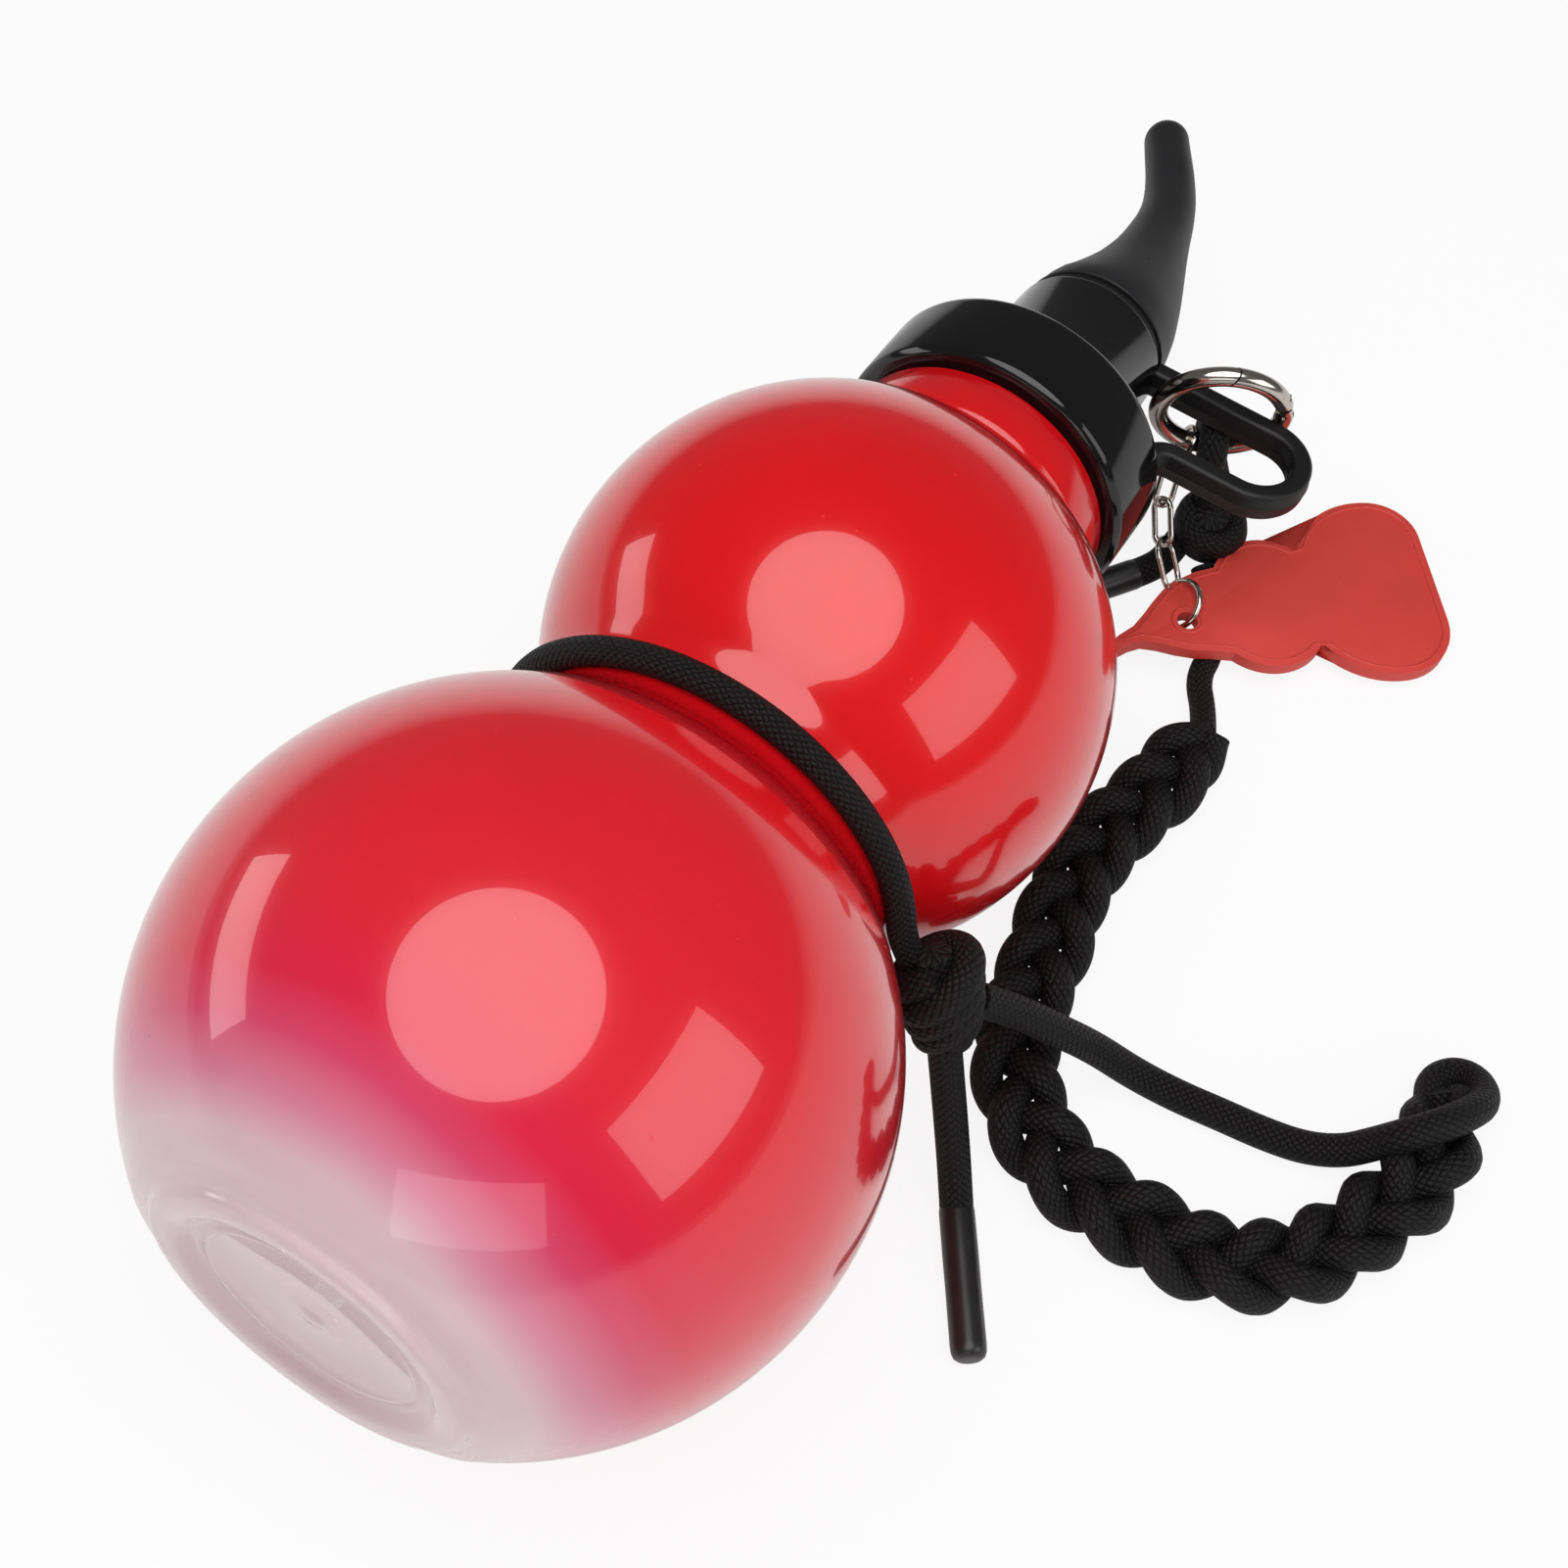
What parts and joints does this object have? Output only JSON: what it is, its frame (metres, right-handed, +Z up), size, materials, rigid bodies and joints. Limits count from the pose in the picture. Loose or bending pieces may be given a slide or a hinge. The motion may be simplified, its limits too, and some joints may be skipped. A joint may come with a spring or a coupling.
{
  "type": "gourd water bottle",
  "caption": "Gourd-shaped water bottle lying on its side, with a screw lid, a horn stopper on a strap, a spring-gate ring, a tag on a chain and a chained cord lanyard.",
  "frame": {"origin": "where the lower bulb touches the table, with the bottle lying on its side", "axes": "+Z up, +Y along the table from the foot towards the spout, +X towards the side that the lanyard lies on"},
  "size_m": [0.1642, 0.268, 0.1],
  "materials": {
    "shell": "gloss",
    "cap": "gloss",
    "seal": "matte",
    "silicone": "satin",
    "nickel": "polished",
    "spring": "satin",
    "tag_red": "matte",
    "sleeve": "satin",
    "cord": "matte"
  },
  "bodies": {
    "bottle": {"bottle_shell": "shell", "waist_cord": "cord", "waist_knot": "cord", "tail": "cord", "tail_sleeve": "sleeve", "free_stretch": "cord", "braid": "cord", "upper_stretch": "cord"},
    "lanyard_top": {"hitch": "cord", "top_knot": "cord", "upper_tail": "cord", "upper_tail_sleeve": "sleeve"},
    "tether": {"strap": "silicone"},
    "lid": {"lid": "cap", "lid_gasket": "seal"},
    "stopper": {"horn_stopper": "silicone"},
    "clip": {"clip_ring": "nickel", "gate_pin": "nickel"},
    "gate": {"gate": "nickel", "gate_spring": "spring"},
    "link_1": {"chain_link_1": "nickel"},
    "link_2": {"chain_link_2": "nickel"},
    "link_3": {"chain_link_3": "nickel"},
    "link_4": {"chain_link_4": "nickel"},
    "jump": {"jump_ring": "nickel"},
    "tag": {"tag": "tag_red"}
  },
  "joints": [
    {"name": "lid_rise", "type": "slide", "parent": "bottle", "child": "tether", "axis": [0, 0.9949, -0.1006], "range_m": [0, 0.006], "deforming": ["upper_stretch"]},
    {"name": "lid_turn", "type": "hinge", "parent": "tether", "child": "lid", "pos_m": [0, 0.12408, 0.03745], "axis": [0, 0.9949, -0.1006], "range_deg": [0, 540]},
    {"name": "stopper_pull", "type": "slide", "parent": "tether", "child": "stopper", "axis": [0, 0.9949, -0.1006], "range_m": [0, 0.016]},
    {"name": "clip_swing", "type": "hinge", "parent": "tether", "child": "clip", "pos_m": [0.02491, 0.16186, 0.03144], "axis": [0.9962, -0.0088, -0.0867], "range_deg": [-6, 6], "deforming": ["upper_stretch"]},
    {"name": "gate_swing", "type": "hinge", "parent": "clip", "child": "gate", "pos_m": [0.03438, 0.16531, 0.03427], "axis": [0.4303, -0.8902, -0.1495], "range_deg": [0, 22], "stiffness_Nm_per_rad": 0.02, "springref_deg": -20.05},
    {"name": "hitch_swing", "type": "hinge", "parent": "clip", "child": "lanyard_top", "pos_m": [0.02448, 0.16248, 0.02261], "axis": [0.899, 0.4375, -0.0173], "range_deg": [0, 4], "deforming": ["upper_stretch"]},
    {"name": "link_1_swing", "type": "hinge", "parent": "clip", "child": "link_1", "pos_m": [0.021, 0.16065, 0.02348], "axis": [0.796, 0.4524, -0.4022], "range_deg": [-10, 0]},
    {"name": "link_2_swing", "type": "hinge", "parent": "link_1", "child": "link_2", "pos_m": [0.02049, 0.15726, 0.01968], "axis": [-0.6043, 0.6324, -0.4847], "range_deg": [-2, 0]},
    {"name": "link_3_swing", "type": "hinge", "parent": "link_2", "child": "link_3", "pos_m": [0.02123, 0.15324, 0.01519], "axis": [0.6346, 0.6246, -0.4551], "range_deg": [-10, 0]},
    {"name": "link_4_swing", "type": "hinge", "parent": "link_3", "child": "link_4", "pos_m": [0.0241, 0.14922, 0.0107], "axis": [0.8227, -0.0449, 0.5667], "range_deg": [-6, 0]},
    {"name": "jump_swing", "type": "hinge", "parent": "link_4", "child": "jump", "pos_m": [0.02854, 0.14521, 0.00621], "axis": [-0.1154, -0.7943, 0.5965], "range_deg": [0, 3]},
    {"name": "tag_turn", "type": "hinge", "parent": "jump", "child": "tag", "pos_m": [0.0342, 0.139, 0.0074], "axis": [0.0812, 0.0719, 0.9941], "range_deg": [-10, 0]}
  ],
  "couplings": [
    {"joint": "lid_turn", "follows": "lid_rise", "rad_per_m": 1570.8}
  ]
}
